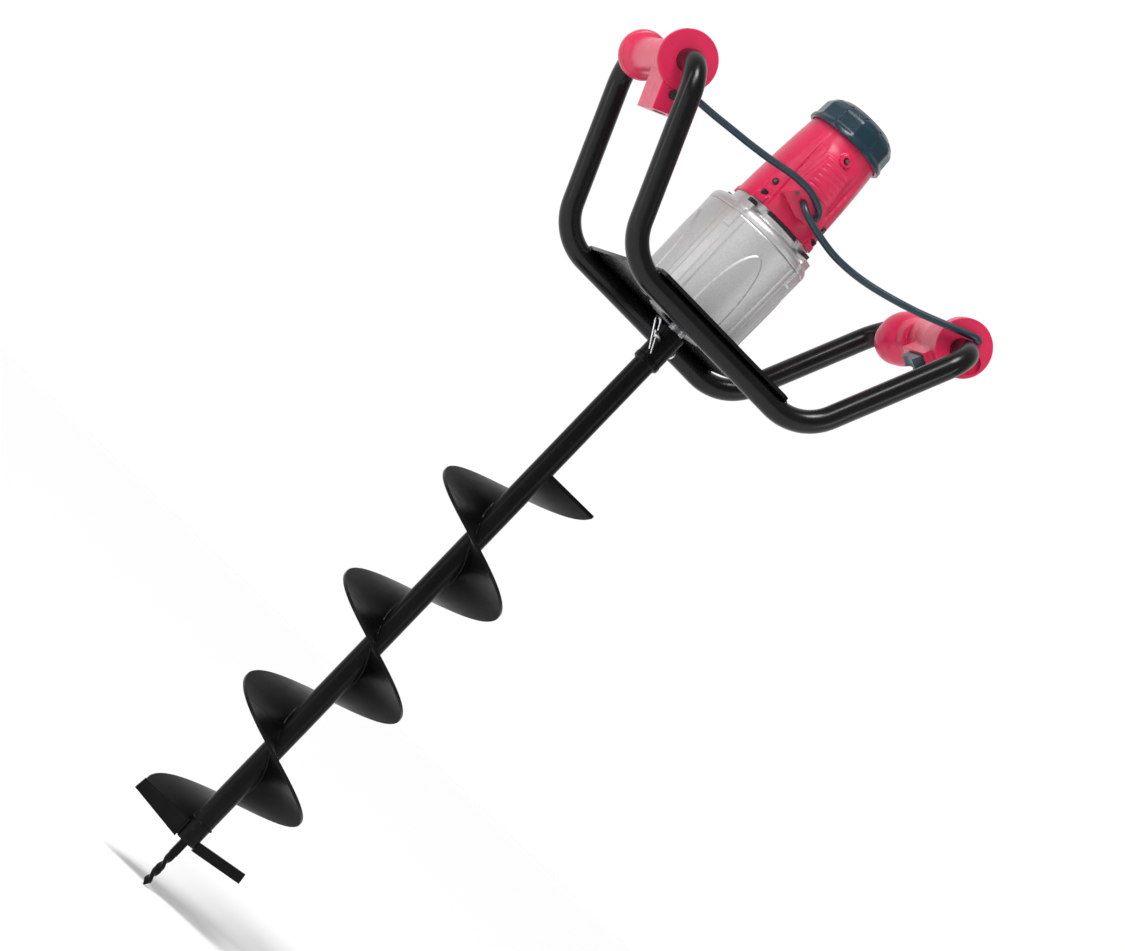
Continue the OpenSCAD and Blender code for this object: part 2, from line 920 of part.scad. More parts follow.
module right_grip() {
    color("#d62e56")
        at_grip(1)
            difference() {
                union() {
                    translate([0, 0, 4])
                        along_y(33, -grip_y, -grip_y + 16);
                    translate([0, 0, 2])
                        along_y(31, -grip_y + 16, -grip_y + 24, 26);
                    along_y(26, -grip_y + 24, -14);
                    along_y(26, -14, 0, 20);
                    along_y(20, 0, 74);
                    translate([0, 60, -14])
                        sphere(r = 30);
                    translate([-9, -72, -36])
                        cube([18, 72, 30]);
                }
                along_y(frame_r + 0.05, -100, 100);
                translate([-40, grip_y, -60])
                    cube([80, 20, 120]);
                translate([-6.4, -68, -50])
                    cube([12.8, 42, 35.5]);
                translate([-7, -26.5, -34])
                    cube([14, 24, 19.5]);
                translate([0, trigger_pivot[0], trigger_pivot[1]])
                    rotate([0, 90, 0])
                        cylinder(r = 2, h = 60, center = true);
            }
}

module right_trigger() {
    color("#17303f")
        at_grip(1)
            difference() {
                translate([-6, 0, 0])
                    rotate([90, 0, 90])
                        linear_extrude(height = 12)
                            polygon([[-66, -20], [-67, -30], [-66, -46], [-61, -48], [-54, -45], [-46, -43.5],
                                [-38, -44.5], [-32, -47], [-29, -46], [-28.6, -25], [-34, -22.5]]);
                translate([0, trigger_pivot[0], trigger_pivot[1]])
                    rotate([0, 90, 0])
                        cylinder(r = 2 + run_gap, h = 60, center = true);
            }
}

module trigger_pin() {
    color("#a9acb0")
        at_grip(1)
            translate([0, trigger_pivot[0], trigger_pivot[1]])
                rotate([0, 90, 0])
                    cylinder(r = 2 - 0.01, h = 17, center = true);
}

module trigger_switch() {
    color("#3a3d42")
        at_grip(1)
            translate([-6, -25, -33])
                cube([12, 21, 17]);
}

handle_front();
handle_rear();
base_plate();
plate_bolts();
gearbox_case();
gearbox_cover();
gearbox_bolts();
motor_housing();
motor_cap();
cable_block();
block_screws();
housing_screws();
left_grip();
switch_box();
lock_button();
lock_switch();
inlet_grommet();
right_grip();
right_trigger();
trigger_pin();
trigger_switch();
lead_left();
lead_right();
lead_boots();
stator();
field_coils();
armature_core();
armature_windings();
commutator();
armature_shaft();
cooling_fan();
brush_holders();
brushes();
bearing_bridge();
armature_bearings();
layshaft();
layshaft_gear();
layshaft_bearings();
output_shaft();
output_gear();
output_circlip();
output_bearings();
output_seal();
bit_collar();
clevis_pin();
pin_clip();
bit_tube();
flight_1();
flight_2();
flight_3();
flight_4();
bit_hub();
blade_left();
blade_right();
pilot_point();
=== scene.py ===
"""Looks for the electric earth auger: smooth tubes, castings, mouldings and leads around the CAD frame."""

import json
import math

import bmesh
import bpy
import numpy as np
from mathutils import Matrix, Vector


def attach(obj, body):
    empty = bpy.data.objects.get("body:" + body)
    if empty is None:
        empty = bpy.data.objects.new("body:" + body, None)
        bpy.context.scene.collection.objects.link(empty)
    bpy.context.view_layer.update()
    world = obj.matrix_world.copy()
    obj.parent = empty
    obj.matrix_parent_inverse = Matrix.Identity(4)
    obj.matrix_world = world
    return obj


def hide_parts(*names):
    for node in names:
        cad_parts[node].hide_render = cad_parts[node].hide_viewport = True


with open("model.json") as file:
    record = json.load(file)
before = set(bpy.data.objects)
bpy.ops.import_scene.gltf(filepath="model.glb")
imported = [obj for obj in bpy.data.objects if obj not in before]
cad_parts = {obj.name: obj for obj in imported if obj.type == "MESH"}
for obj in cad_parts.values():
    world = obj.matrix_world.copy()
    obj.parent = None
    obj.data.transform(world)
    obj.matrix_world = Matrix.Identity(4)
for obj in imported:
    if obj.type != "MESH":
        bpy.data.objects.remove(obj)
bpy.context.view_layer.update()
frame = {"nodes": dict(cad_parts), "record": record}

MM = 0.001
TAU = 2 * math.pi

# Driving sizes, as in the CAD part, in millimetres. Turns are in degrees, FLIGHT_FIRST in whole turns.
BIT_R = 75.0
PITCH = 150.0
FLIGHT_T = 4.0
FLIGHT_Z = 64.0
FLIGHT_START = 205.0
FLIGHT_FIRST = 0.097
BLADE_TURN = FLIGHT_START - 360 * FLIGHT_FIRST
BIT_TUBE_R = 12.5
FRAME_R = 12.5
FRAME_WALL = 1.6
FRAME_Y = 139.0
BASE_HALF = 130.0
BASE_Z = 807.6
GRIP_HALF = 215.0
GRIP_Z = 1000.0
BASE_BEND = 60.0
TOP_BEND = 38.0
GRIP_Y = 89.0
MOTOR_X = -8.0
LEAD_D = 8.0
LEFT_DISC_R = 33.0
LEAN = math.atan2(GRIP_HALF - BASE_HALF, GRIP_Z - BASE_Z)
PLATE_Z = BASE_Z + FRAME_R
CASE_Z = PLATE_Z + 4.0
CASE_TOP = 936.0
COVER_TOP = 961.7
HOUSING_FOOT = 962.0
HOUSING_TOP = 1078.0
CAP_FOOT = 1074.0
CAP_TOP = 1110.0

# Radii of what sits on the tubes, with a little room.
BIT_ROOT_R = BIT_TUBE_R + 0.1
BIT_WELD_R = BIT_TUBE_R + 0.2
GRIP_BORE_R = FRAME_R + 0.12

# Directions round the upright axis, in degrees.
FRONT = 270
SIDES = (0, 90, 180, 270)
CORNERS = (45, 135, 225, 315)

LEFT_ROUTE = [(-184, -62, 981), (-172, -62, 983), (-150, -63, 985), (-125, -65, 988),
              (-100, -67, 991), (-75, -69, 995), (-50, -71, 1000), (-35, -71, 1002), (-20, -71, 1002),
              (-8, -71, 999), (1, -70, 995), (6, -66, 991), (8, -61, 988)]
RIGHT_ROUTE = [(-14, -61, 990), (-13, -66, 988), (-8, -71, 984), (5, -75, 979), (22, -78, 975),
               (45, -81, 972), (70, -84, 973), (95, -88, 977), (122, -92, 984), (150, -95, 993),
               (178, -98, 1004), (200, -99, 1013), (213, -98, 1018), (220, -94, 1019), (222, -89.5, 1019)]


# ---- camera, light and floor ----

def make_camera():
    """A long lens from the front left, rolled so that the bit points down to the left corner."""
    roll = math.radians(43.89)
    yaw = math.radians(15.86)
    pitch = math.radians(4.01)
    target = Vector((0.0202, 0.0, 0.6136))
    distance = 3.918
    ahead = Vector((math.sin(yaw) * math.cos(pitch), math.cos(yaw) * math.cos(pitch), math.sin(pitch)))
    right = ahead.cross(Vector((0, 0, 1))).normalized()
    up = right.cross(ahead)
    turned_right = math.cos(roll) * right + math.sin(roll) * up
    turned_up = turned_right.cross(ahead)
    data = bpy.data.cameras.new("camera")
    data.sensor_width = 36.0
    data.lens = 118.5
    data.clip_end = 60.0
    camera = bpy.data.objects.new("camera", data)
    matrix = Matrix((turned_right, turned_up, -ahead)).transposed().to_4x4()
    matrix.translation = target - distance * ahead
    camera.matrix_world = matrix
    bpy.context.scene.collection.objects.link(camera)
    bpy.context.scene.camera = camera


def add_area(name, place, aim, size, power):
    data = bpy.data.lights.new(name, "AREA")
    data.shape = "RECTANGLE"
    data.size, data.size_y = size
    data.energy = power
    lamp = bpy.data.objects.new(name, data)
    lamp.location = place
    lamp.rotation_euler = (Vector(aim) - Vector(place)).to_track_quat("-Z", "Y").to_euler()
    bpy.context.scene.collection.objects.link(lamp)


def make_world():
    """A white surround that is dimmer in front of the object than behind it."""
    bpy.context.scene.view_settings.view_transform = "Standard"
    world = bpy.data.worlds.new("studio")
    world.use_nodes = True
    tree = world.node_tree
    background = tree.nodes["Background"]
    background.inputs["Color"].default_value = (1.0, 1.0, 1.0, 1.0)
    coords = tree.nodes.new("ShaderNodeTexCoord")
    parts = tree.nodes.new("ShaderNodeSeparateXYZ")
    fade = tree.nodes.new("ShaderNodeMapRange")
    fade.inputs["From Min"].default_value = 0.0
    fade.inputs["From Max"].default_value = 0.8
    fade.inputs["To Min"].default_value = 0.28
    fade.inputs["To Max"].default_value = 1.0
    tree.links.new(coords.outputs["Generated"], parts.inputs["Vector"])
    tree.links.new(parts.outputs["Y"], fade.inputs["Value"])
    tree.links.new(fade.outputs["Result"], background.inputs["Strength"])
    bpy.context.scene.world = world


def make_lights():
    sun = bpy.data.lights.new("sun", "SUN")
    sun.energy = 2.35
    sun.angle = math.radians(22)
    lamp = bpy.data.objects.new("sun", sun)
    lamp.rotation_euler = Vector((0.5, 0.62, -1.1)).to_track_quat("-Z", "Y").to_euler()
    bpy.context.scene.collection.objects.link(lamp)
    add_area("key", (-1.7, -2.2, 2.7), (0, 0, 0.9), (0.7, 0.7), 20)
    add_area("fill", (2.2, -2.0, 1.0), (0, 0, 0.8), (0.4, 1.6), 9)
    add_area("strip", (-2.4, -0.6, 1.0), (0, 0, 0.8), (0.3, 2.0), 9)


def make_floor():
    half = 30.0
    corners = [(-half, -half, 0), (half, -half, 0), (half, half, 0), (-half, half, 0)]
    mesh = bpy.data.meshes.new("floor")
    mesh.from_pydata(corners, [], [(0, 1, 2, 3)])
    floor = bpy.data.objects.new("floor", mesh)
    bpy.context.scene.collection.objects.link(floor)
    paint = bpy.data.materials.new("floor")
    paint.use_nodes = True
    shader = paint.node_tree.nodes["Principled BSDF"]
    shader.inputs["Base Color"].default_value = (0.93, 0.93, 0.93, 1)
    shader.inputs["Roughness"].default_value = 0.9
    mesh.materials.append(paint)


# ---- materials ----

def material(name, color, rough, metallic=0.0, coat=0.0, specular=0.5, tint=0.12, tint_scale=60.0,
             grain=0.1, grain_scale=900.0, fine=0.0, fine_scale=4000.0, worn=None):
    """A procedural finish: colour that varies a little, uneven gloss, and one or two scales of grain."""
    made = bpy.data.materials.new(name)
    made.use_nodes = True
    tree = made.node_tree
    shader = tree.nodes["Principled BSDF"]
    shader.inputs["Metallic"].default_value = metallic
    shader.inputs["Coat Weight"].default_value = coat
    shader.inputs["Coat Roughness"].default_value = 0.12
    shader.inputs["Specular IOR Level"].default_value = specular
    coords = tree.nodes.new("ShaderNodeTexCoord")

    def noise(scale, detail=4.0):
        node = tree.nodes.new("ShaderNodeTexNoise")
        node.inputs["Scale"].default_value = scale
        node.inputs["Detail"].default_value = detail
        tree.links.new(coords.outputs["Object"], node.inputs["Vector"])
        return node

    ramp = tree.nodes.new("ShaderNodeValToRGB")
    low = [c * (1 - tint) for c in color]
    high = [min(1.0, c * (1 + tint)) for c in color]
    ramp.color_ramp.elements[0].position = 0.35
    ramp.color_ramp.elements[1].position = 0.65
    ramp.color_ramp.elements[0].color = (*low, 1)
    ramp.color_ramp.elements[1].color = (*high, 1)
    broad = noise(tint_scale)
    tree.links.new(broad.outputs["Fac"], ramp.inputs["Fac"])
    if worn is None:
        tree.links.new(ramp.outputs["Color"], shader.inputs["Base Color"])
    else:
        scuffs = noise(tint_scale * 4, 8.0)
        edge = tree.nodes.new("ShaderNodeMapRange")
        edge.inputs["From Min"].default_value = 0.66
        edge.inputs["From Max"].default_value = 0.74
        tree.links.new(scuffs.outputs["Fac"], edge.inputs["Value"])
        mix = tree.nodes.new("ShaderNodeMix")
        mix.data_type = "RGBA"
        mix.inputs["B"].default_value = (*worn, 1)
        tree.links.new(ramp.outputs["Color"], mix.inputs["A"])
        tree.links.new(edge.outputs["Result"], mix.inputs["Factor"])
        tree.links.new(mix.outputs["Result"], shader.inputs["Base Color"])
    gloss = tree.nodes.new("ShaderNodeMapRange")
    gloss.inputs["From Min"].default_value = 0.3
    gloss.inputs["From Max"].default_value = 0.7
    gloss.inputs["To Min"].default_value = rough * 0.85
    gloss.inputs["To Max"].default_value = min(1.0, rough * 1.18)
    patches = noise(tint_scale * 2.5)
    tree.links.new(patches.outputs["Fac"], gloss.inputs["Value"])
    tree.links.new(gloss.outputs["Result"], shader.inputs["Roughness"])
    bump = tree.nodes.new("ShaderNodeBump")
    bump.inputs["Strength"].default_value = grain
    bump.inputs["Distance"].default_value = 0.0006
    tree.links.new(noise(grain_scale, 3.0).outputs["Fac"], bump.inputs["Height"])
    last = bump
    if fine > 0:
        second = tree.nodes.new("ShaderNodeBump")
        second.inputs["Strength"].default_value = fine
        second.inputs["Distance"].default_value = 0.0002
        tree.links.new(noise(fine_scale, 2.0).outputs["Fac"], second.inputs["Height"])
        tree.links.new(bump.outputs["Normal"], second.inputs["Normal"])
        last = second
    tree.links.new(last.outputs["Normal"], shader.inputs["Normal"])
    return made


MATERIALS = {
    "black_powder": material("black_powder", (0.0035, 0.0035, 0.004), 0.24, specular=0.3, grain=0.008,
                             grain_scale=350, fine=0.012, tint=0.2, tint_scale=30),
    "black_bit": material("black_bit", (0.0022, 0.0022, 0.0022), 0.33, specular=0.14, grain=0.015,
                          grain_scale=300, fine=0.015, tint=0.3, tint_scale=30,
                          worn=(0.008, 0.0078, 0.0075)),
    "black_fasteners": material("black_fasteners", (0.016, 0.016, 0.018), 0.35, metallic=0.4, grain=0.08),
    "cast_alloy": material("cast_alloy", (0.55, 0.55, 0.55), 0.40, metallic=0.75, grain=0.30,
                           grain_scale=1500, fine=0.3, fine_scale=5200, tint=0.10, tint_scale=900),
    "red_plastic": material("red_plastic", (0.60, 0.016, 0.075), 0.32, grain=0.06, grain_scale=1400,
                            fine=0.05, tint=0.06, tint_scale=35),
    "navy_plastic": material("navy_plastic", (0.006, 0.026, 0.042), 0.28, grain=0.07, grain_scale=1200,
                             fine=0.05, tint=0.14, tint_scale=40),
    "black_plastic": material("black_plastic", (0.016, 0.016, 0.018), 0.55, grain=0.18, fine=0.1),
    "black_rubber": material("black_rubber", (0.012, 0.012, 0.013), 0.62, grain=0.2),
    "lead_sheath": material("lead_sheath", (0.010, 0.030, 0.044), 0.34, grain=0.05, tint=0.12),
    "bright_zinc": material("bright_zinc", (0.72, 0.73, 0.75), 0.2, metallic=1.0, grain=0.05, tint=0.05),
    "screw_steel": material("screw_steel", (0.20, 0.17, 0.17), 0.35, metallic=0.9, grain=0.06),
    "machined_steel": material("machined_steel", (0.46, 0.47, 0.49), 0.3, metallic=1.0, grain=0.08),
    "lamination_steel": material("lamination_steel", (0.22, 0.22, 0.24), 0.5, metallic=0.8, grain=0.3),
    "copper": material("copper", (0.50, 0.18, 0.06), 0.35, metallic=0.9, grain=0.3, grain_scale=1800),
    "brass": material("brass", (0.55, 0.38, 0.12), 0.32, metallic=1.0, grain=0.08),
    "carbon": material("carbon", (0.02, 0.02, 0.02), 0.7, grain=0.3),
}


def finish_cad_nodes():
    """Gives every carried-over CAD node the finish of its slot."""
    for entry in frame["record"]["subparts"]:
        node = frame["nodes"][entry["node"]]
        node.data.materials.clear()
        node.data.materials.append(MATERIALS[entry["material_slot"]])


# ---- mesh building ----

def piece(name, verts, faces, slot, body, smooth=True, angle=35.0, replaces=()):
    """A mesh piece from millimetre points, riding on a CAD body."""
    mesh = bpy.data.meshes.new(name)
    mesh.from_pydata([tuple(c * MM for c in v) for v in verts], [], faces)
    cleaned = bmesh.new()
    cleaned.from_mesh(mesh)
    bmesh.ops.remove_doubles(cleaned, verts=cleaned.verts, dist=1e-6)
    bmesh.ops.recalc_face_normals(cleaned, faces=cleaned.faces)
    cleaned.to_mesh(mesh)
    cleaned.free()
    made = bpy.data.objects.new(name, mesh)
    return place(made, slot, body, smooth, angle, replaces)


def place(made, slot, body, smooth=True, angle=35.0, replaces=()):
    if made.name not in bpy.context.scene.collection.objects:
        bpy.context.scene.collection.objects.link(made)
    made.data.materials.clear()
    made.data.materials.append(MATERIALS[slot])
    if smooth:
        made.data.shade_smooth()
        made.data.set_sharp_from_angle(angle=math.radians(angle))
    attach(made, body)
    if replaces:
        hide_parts(*replaces)
    return made


def sweep(steps, r_out, sides=40, r_in=None):
    """Points and faces of a tube along (point, direction) steps, kept free of twist."""
    verts, faces = [], []
    side = None
    loops = [r_out] if r_in is None else [r_out, r_in]
    frames = []
    for point, ahead in steps:
        ahead = Vector(ahead).normalized()
        if side is None:
            side = ahead.orthogonal().normalized()
        side = (side - side.dot(ahead) * ahead).normalized()
        frames.append((Vector(point), side, ahead.cross(side)))
    count = len(steps)
    for r in loops:
        for centre, a, b in frames:
            for k in range(sides):
                turn = TAU * k / sides
                verts.append(centre + r * (math.cos(turn) * a + math.sin(turn) * b))
    for layer in range(len(loops)):
        start = layer * count * sides
        for i in range(count - 1):
            for k in range(sides):
                a = start + i * sides + k
                b = start + i * sides + (k + 1) % sides
                faces.append((a, b, b + sides, a + sides))
    if r_in is None:
        faces.append(tuple(range(sides)))
        faces.append(tuple((count - 1) * sides + k for k in range(sides)))
    else:
        inner = count * sides
        for base in (0, (count - 1) * sides):
            for k in range(sides):
                a, b = base + k, base + (k + 1) % sides
                faces.append((a, b, b + inner, a + inner))
    return verts, faces


def lathe(profile, segments, axis=(0.0, 0.0), lift=None):
    """Revolves a closed (radius, height) profile. lift(radius, height, angle) gives each final radius."""
    verts, faces = [], []
    count = len(profile)
    for s in range(segments):
        turn = TAU * s / segments
        for r, z in profile:
            radius = r if lift is None else lift(r, z, turn)
            verts.append((axis[0] + radius * math.cos(turn), axis[1] + radius * math.sin(turn), z))
    for s in range(segments):
        for i in range(count):
            a = s * count + i
            b = s * count + (i + 1) % count
            c = ((s + 1) % segments) * count + (i + 1) % count
            d = ((s + 1) % segments) * count + i
            faces.append((a, d, c, b))
    return verts, faces


def densify(points, step):
    """Adds points along a profile so that no stretch is longer than step."""
    dense = []
    for (r0, z0), (r1, z1) in zip(points, points[1:]):
        parts = max(1, math.ceil(math.hypot(r1 - r0, z1 - z0) / step))
        dense += [(r0 + (r1 - r0) * k / parts, z0 + (z1 - z0) * k / parts) for k in range(parts)]
    return dense + [points[-1]]


def ease(x, low, high):
    """0 below low, 1 above high, and smooth between."""
    t = min(1.0, max(0.0, (x - low) / (high - low)))
    return t * t * (3 - 2 * t)


def band(x, half, soft):
    """1 inside plus or minus half, falling to 0 over soft."""
    return 1 - ease(abs(x), half - soft / 2, half + soft / 2)


def angle_gap(turn, centre_deg):
    """Signed angle in degrees from a centre to turn."""
    return (math.degrees(turn) - centre_deg + 180.0) % 360.0 - 180.0


# ---- leads ----

def smooth_route(points, cuts):
    """A Catmull-Rom curve through the points, with cuts steps between two of them."""
    rows = [Vector(p) for p in points]
    out = []
    for i in range(len(rows) - 1):
        a, b, c, d = rows[max(i - 1, 0)], rows[i], rows[i + 1], rows[min(i + 2, len(rows) - 1)]
        for k in range(cuts):
            t = k / cuts
            out.append(0.5 * (2 * b + (c - a) * t + (2 * a - 5 * b + 4 * c - d) * t * t
                              + (3 * b - a - 3 * c + d) * t ** 3))
    return out + [rows[-1]]


def make_lead(name, route, node):
    """A round lead along its route, in place of the CAD tube."""
    path = smooth_route(route, 6)
    data = bpy.data.curves.new(name, "CURVE")
    data.dimensions = "3D"
    data.bevel_depth = LEAD_D / 2 * MM
    data.bevel_resolution = 6
    data.use_fill_caps = True
    line = data.splines.new("POLY")
    line.points.add(len(path) - 1)
    for spot, p in zip(line.points, path):
        spot.co = (*(p * MM), 1.0)
    line.use_smooth = True
    lead = bpy.data.objects.new(name, data)
    bpy.context.scene.collection.objects.link(lead)
    data.materials.append(MATERIALS["lead_sheath"])
    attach(lead, "frame")
    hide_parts(node)


# ---- frame ----

def bend(centre, out, ahead, r, angle, count):
    """Steps round an arc that starts at centre + r * out and sets off along ahead."""
    steps = []
    for i in range(count + 1):
        a = angle * i / count
        steps.append((centre + r * (math.cos(a) * out + math.sin(a) * ahead),
                      math.cos(a) * ahead - math.sin(a) * out))
    return steps


def handle_steps():
    """The front tube's centre line, from the left grip's middle to the right grip's."""
    bend_steps = 20
    short_of_middle = 0.3
    turn = math.pi / 2 - LEAN
    run = BASE_HALF - BASE_BEND * math.tan(turn / 2)
    rise = Vector((math.sin(LEAN), 0, math.cos(LEAN)))
    corner = Vector((GRIP_HALF, 0, GRIP_Z))
    top = corner - TOP_BEND * rise + Vector((0, TOP_BEND, 0))
    bottom = Vector((run, 0, BASE_Z + BASE_BEND))
    half = bend(bottom, Vector((0, 0, -1)), Vector((1, 0, 0)), BASE_BEND, turn, bend_steps)
    half += bend(top, Vector((0, -1, 0)), rise, TOP_BEND, math.pi / 2, bend_steps)
    half.append((Vector((GRIP_HALF, FRAME_Y - short_of_middle, GRIP_Z)), Vector((0, 1, 0))))
    flipped = [(Vector((-p.x, p.y, p.z)), Vector((d.x, -d.y, -d.z))) for p, d in reversed(half)]
    return flipped + half


def make_handles():
    for name, sign in (("handle_front", 1), ("handle_rear", -1)):
        steps = [(Vector((p.x, sign * (p.y - FRAME_Y), p.z)), Vector((d.x, sign * d.y, d.z)))
                 for p, d in handle_steps()]
        verts, faces = sweep(steps, FRAME_R, 40, FRAME_R - FRAME_WALL)
        piece(name + "_tube", verts, faces, "black_powder", "frame", replaces=[name])


def bead(name, points, r, slot, body, seed):
    """A weld bead: a rippled bar along a line of points."""
    rng = np.random.default_rng(seed)
    verts, faces = [], []
    sides = 10
    rows = [Vector(p) for p in points]
    for i, p in enumerate(rows):
        ahead = (rows[min(i + 1, len(rows) - 1)] - rows[max(i - 1, 0)]).normalized()
        side = ahead.cross(Vector((0, 0, 1)))
        side = side.normalized() if side.length > 0.1 else Vector((1, 0, 0))
        up = side.cross(ahead)
        end = min(1.0, 0.35 + min(i, len(rows) - 1 - i) / 3)
        radius = r * end * (1 + 0.12 * math.sin(i * 2.1) + 0.06 * rng.standard_normal())
        for k in range(sides):
            turn = TAU * k / sides
            verts.append(p + radius * (math.cos(turn) * side + math.sin(turn) * up))
    for i in range(len(rows) - 1):
        for k in range(sides):
            a, b = i * sides + k, i * sides + (k + 1) % sides
            faces.append((a, b, b + sides, a + sides))
    faces.append(tuple(range(sides)))
    faces.append(tuple((len(rows) - 1) * sides + k for k in range(sides)))
    return piece(name, verts, faces, slot, body)


def make_plate_welds():
    """Short beads along the plate's ends, where it is welded to each tube."""
    plate_end = 96.6
    half = 9.5
    middle = 12
    for k, (side, end) in enumerate([(s, e) for s in (-1, 1) for e in (-1, 1)]):
        points = [(end * plate_end, side * (FRAME_Y - half * (i - middle) / middle),
                   PLATE_Z + 0.2 - 0.02 * (i - middle) ** 2) for i in range(2 * middle + 1)]
        bead(f"plate_weld_{k}", points, 2.0, "black_powder", "frame", 10 + k)


# ---- motor ----

def panel_lift(raised, across, z):
    """Adds the front panel, its shoulder, its five grooves and the hollow screw boss above it."""
    panel_h = 4.2
    shoulder_h = 1.6
    groove_pitch = 6.8
    boss_h = 4.6
    boss_z = 1056
    half = 17.0 + 5.0 * (1 - ease(z, 1004, 1046))
    panel = band(across, half, 3.0) * ease(z, 1003, 1008) * (1 - ease(z, 1046, 1051))
    raised = max(raised, panel_h * panel)
    shoulder = band(across, half + 7, 8.0) * ease(z, 1002, 1008) * (1 - ease(z, 1050, 1062))
    raised = max(raised, shoulder_h * shoulder)
    for k in range(5):
        line = 1014.5 + groove_pitch * k - 0.006 * across * across
        groove = band(z - line, 1.0, 1.2) * band(across, 13.0, 3.0)
        raised -= 0.9 * groove * panel
    reach = math.hypot(across, z - boss_z)
    raised = max(raised, boss_h * (1 - ease(reach, 6.2, 7.8)))
    if reach < 3.1:
        raised = min(raised, 1.0)
    return raised


def motor_lift(r, z, turn):
    """Raises the corner ribs, foot lugs and front panel out of the motor housing."""
    rib_h = 2.8
    groove_h = 0.5
    lug_h = 6.0
    if r < 40.5:
        return r
    across = math.radians(angle_gap(turn, FRONT)) * r
    taper = max(0.0, (CAP_FOOT - z) / (CAP_FOOT - HOUSING_FOOT))
    raised = 0.0
    for centre in CORNERS:
        gap = angle_gap(turn, centre)
        leaf = band(gap, 3.0 + 9.0 * taper, 2.2)
        raised = max(raised, rib_h * leaf * min(1.0, taper * 2.4))
        line = 5.0 + 10.0 * taper
        groove = band(gap - line, 1.6, 2.0) + band(gap + line, 1.6, 2.0)
        raised -= groove_h * groove * min(1.0, taper * 2)
        raised = max(raised, lug_h * band(gap, 8.0, 2.0) * (1 - ease(z, 968, 976)))
    if abs(across) < 34 and z > 1000:
        raised = panel_lift(raised, across, z)
    return r + raised


def make_motor_housing():
    outer = densify([(50.5, HOUSING_FOOT), (49.6, 985.0), (48.6, 1005.0), (47.8, 1022.0), (46.2, 1045.0),
                     (43.2, HOUSING_TOP)], 0.9)
    inner = [(40.2, HOUSING_TOP), (44.8, 1022.0), (47.2, HOUSING_FOOT)]
    verts, faces = lathe(outer + inner, 420, (MOTOR_X, 0), motor_lift)
    piece("motor_shell", verts, faces, "red_plastic", "frame", angle=50, replaces=["motor_housing"])


def cap_lift(r, z, turn):
    """Twelve soft flats round the cap's side, parted by fine lines and by notches in the crown's edge."""
    if r < 38:
        return r
    step = 30.0
    first = -3.0
    gap = (math.degrees(turn) - first + step / 2) % step - step / 2
    flat = math.cos(math.radians(step / 2)) / math.cos(math.radians(gap))
    side = ease(z, 1076, 1083) * (1 - ease(z, 1099, 1106))
    radius = r * (1 + (flat - 1) * 0.95 * side)
    edge = step / 2 - abs(gap)
    radius -= 0.35 * (1 - ease(edge, 0.4, 1.0)) * side
    radius -= 1.5 * (1 - ease(edge, 1.2, 2.4)) * band(z - 1105.5, 2.2, 1.2)
    return radius


def make_motor_cap():
    side = [(44.8, CAP_FOOT), (48.0, CAP_FOOT), (48.7, CAP_FOOT + 0.8), (48.5, 1079.0), (46.6, 1083.0),
            (45.8, 1097.0), (44.4, 1100.0)]
    crown = [(40.6, 1104.4), (36.0, 1107.6), (33.0, 1109.0), (31.8, CAP_TOP), (30.8, 1109.2), (20.0, 1109.6),
             (0.4, CAP_TOP)]
    outer = densify(side + crown, 0.9)
    inner = [(0.4, CAP_TOP - 3.0), (32.0, 1105.0), (41.5, 1097.0), (43.0, 1080.0)]
    verts, faces = lathe(outer + inner, 360, (MOTOR_X, 0), cap_lift)
    piece("motor_crown", verts, faces, "navy_plastic", "frame", angle=40, replaces=["motor_cap"])


def make_housing_bolts():
    """Dark bolts set into the corner ribs and the foot lugs."""
    bolt_z = 989
    bolt_start = 48.0
    bolt_l = 6.0
    bolt_r = 3.6
    socket_r = 2.2
    foot_r = 53.5
    nut_r = 4.0
    for k, centre in enumerate(CORNERS):
        turn = math.radians(centre)
        out = Vector((math.cos(turn), math.sin(turn), 0))
        start = Vector((MOTOR_X, 0, bolt_z)) + bolt_start * out
        steps = [(start, out), (start + (bolt_l - 0.4) * out, out), (start + bolt_l * out, out)]
        verts, faces = sweep(steps, bolt_r, 24)
        piece(f"rib_bolt_{k}", verts, faces, "black_fasteners", "frame")
        socket = [(start + bolt_l * out, out), (start + (bolt_l + 0.3) * out, out)]
        verts, faces = sweep(socket, socket_r, 6)
        piece(f"rib_bolt_drive_{k}", verts, faces, "screw_steel", "frame", smooth=False)
        foot = Vector((MOTOR_X, 0, 0)) + foot_r * out
        steps = [(foot + Vector((0, 0, z)), Vector((0, 0, 1))) for z in (970.0, 974.5, 975.0)]
        verts, faces = sweep(steps, nut_r, 6)
        piece(f"foot_nut_{k}", verts, faces, "black_fasteners", "frame", smooth=False)


def make_vent():
    """The dark slot between the housing's foot and the gearbox neck, with its louvre bars."""
    verts, faces = [], []
    bars = [(958.6, 961.4, 47.6), (959.6, 960.3, 49.6)]
    thick = 2.5
    reach = 30
    count = 24
    for low, high, radius in bars:
        base = len(verts)
        for i in range(count + 1):
            turn = math.radians(FRONT - reach + 2 * reach * i / count)
            for r in (radius - thick, radius):
                for z in (low, high):
                    verts.append((MOTOR_X + r * math.cos(turn), r * math.sin(turn), z))
        for i in range(count):
            a = base + 4 * i
            for p, q in ((0, 1), (1, 3), (3, 2), (2, 0)):
                faces.append((a + p, a + q, a + 4 + q, a + 4 + p))
        faces.append((base, base + 1, base + 3, base + 2))
        end = base + 4 * count
        faces.append((end, end + 2, end + 3, end + 1))
    piece("vent_louvre", verts, faces, "black_plastic", "frame")


# ---- gearbox ----

